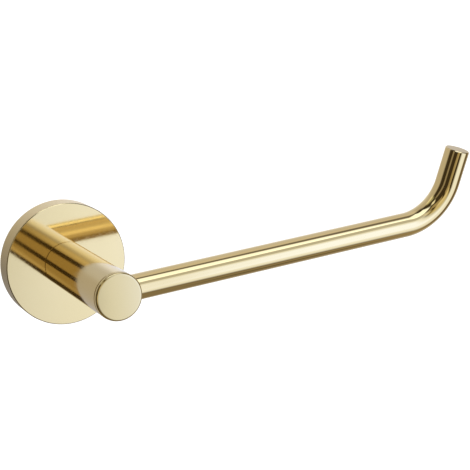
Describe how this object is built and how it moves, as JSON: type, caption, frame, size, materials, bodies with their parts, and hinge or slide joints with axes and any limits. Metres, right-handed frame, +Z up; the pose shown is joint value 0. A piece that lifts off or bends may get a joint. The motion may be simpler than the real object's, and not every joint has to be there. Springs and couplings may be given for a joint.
{
  "type": "toilet paper holder",
  "caption": "Wall-hung toilet roll holder: a round flange over a hidden wall plate, a stand-off post with a front cap, and a side bar that turns up at its free end.",
  "frame": {"origin": "on the wall plane, on the post's axis: the middle of the wall plate's back face", "axes": "+X along the bar towards its free end, +Y into the wall, so the post stands out along -Y, and +Z up"},
  "size_m": [0.1833, 0.0969, 0.055],
  "materials": {
    "polished_gold": "mirror polished, pale champagne gold coating",
    "zinc_plated_steel": "turned and zinc plated",
    "screw_steel": "plain stainless fastener",
    "plug_nylon": "moulded grey nylon"
  },
  "bodies": {
    "wall_side": {"wall_plate": "zinc_plated_steel", "wall_screw_upper": "screw_steel", "wall_screw_lower": "screw_steel", "wall_plug_upper": "plug_nylon", "wall_plug_lower": "plug_nylon"},
    "holder": {"flange_cover": "polished_gold", "post_screw": "screw_steel", "spring_washer": "screw_steel", "locating_pin": "screw_steel", "post": "polished_gold", "front_cap": "polished_gold", "bar": "polished_gold"},
    "set_screw": {"flange_set_screw": "screw_steel"}
  },
  "joints": [
    {"name": "cover_lift_off", "type": "slide", "parent": "wall_side", "child": "holder", "axis": [0, -1, 0], "range_m": [0, 0.012]},
    {"name": "set_screw_travel", "type": "slide", "parent": "holder", "child": "set_screw", "axis": [0, 0, -1], "range_m": [0, 0.0021]}
  ]
}
